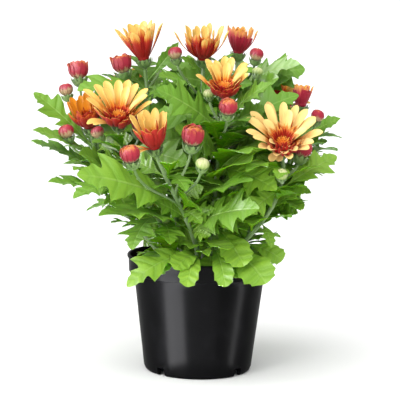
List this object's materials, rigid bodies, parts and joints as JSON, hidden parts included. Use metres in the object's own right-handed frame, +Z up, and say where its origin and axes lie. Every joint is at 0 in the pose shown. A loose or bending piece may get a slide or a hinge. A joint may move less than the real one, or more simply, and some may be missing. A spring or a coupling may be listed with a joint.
{
  "type": "potted chrysanthemum",
  "caption": "Bushy chrysanthemum with lobed green leaves, red and yellow daisy blooms and red buds, growing in soil in a tapered black nursery pot with a stepped rim.",
  "frame": {"origin": "centre of the pot's flat foot, on the surface it stands on", "axes": "+Z up along the pot's axis, -Y towards the viewer of the picture, +X to the viewer's right"},
  "size_m": [0.2733, 0.2566, 0.312],
  "materials": {
    "black_plastic": "satin",
    "potting_soil": "matte",
    "leaf_green": "satin",
    "petal": "matte",
    "floret": "matte",
    "furled_bud": "matte"
  },
  "bodies": {
    "root": {"bloom_back": "petal", "bloom_back_left": "petal", "bloom_back_right": "petal", "bloom_front": "petal", "bloom_front_left": "petal", "bloom_front_right": "petal", "bloom_left": "petal", "bloom_left_high": "petal", "bloom_middle": "petal", "bloom_middle_high": "petal", "bloom_right": "petal", "bloom_right_high": "petal", "bud_01": "furled_bud", "bud_02": "furled_bud", "bud_03": "furled_bud", "bud_04": "furled_bud", "bud_05": "furled_bud", "bud_06": "furled_bud", "bud_07": "furled_bud", "bud_08": "furled_bud", "bud_09": "furled_bud", "bud_10": "furled_bud", "bud_11": "furled_bud", "bud_12": "furled_bud", "bud_13": "furled_bud", "bud_14": "furled_bud", "bud_15": "furled_bud", "bud_16": "furled_bud", "bud_17": "furled_bud", "disc_back_left": "floret", "disc_back_right": "floret", "disc_front_left": "floret", "disc_front_right": "floret", "disc_middle": "floret", "leafy_stem_back": "leaf_green", "leafy_stem_back_left": "leaf_green", "leafy_stem_back_right": "leaf_green", "leafy_stem_front": "leaf_green", "leafy_stem_front_left": "leaf_green", "leafy_stem_front_right": "leaf_green", "leafy_stem_left": "leaf_green", "leafy_stem_left_high": "leaf_green", "leafy_stem_middle": "leaf_green", "leafy_stem_middle_high": "leaf_green", "leafy_stem_right": "leaf_green", "leafy_stem_right_high": "leaf_green", "pot": "black_plastic", "potting_soil": "potting_soil"}
  },
  "joints": []
}
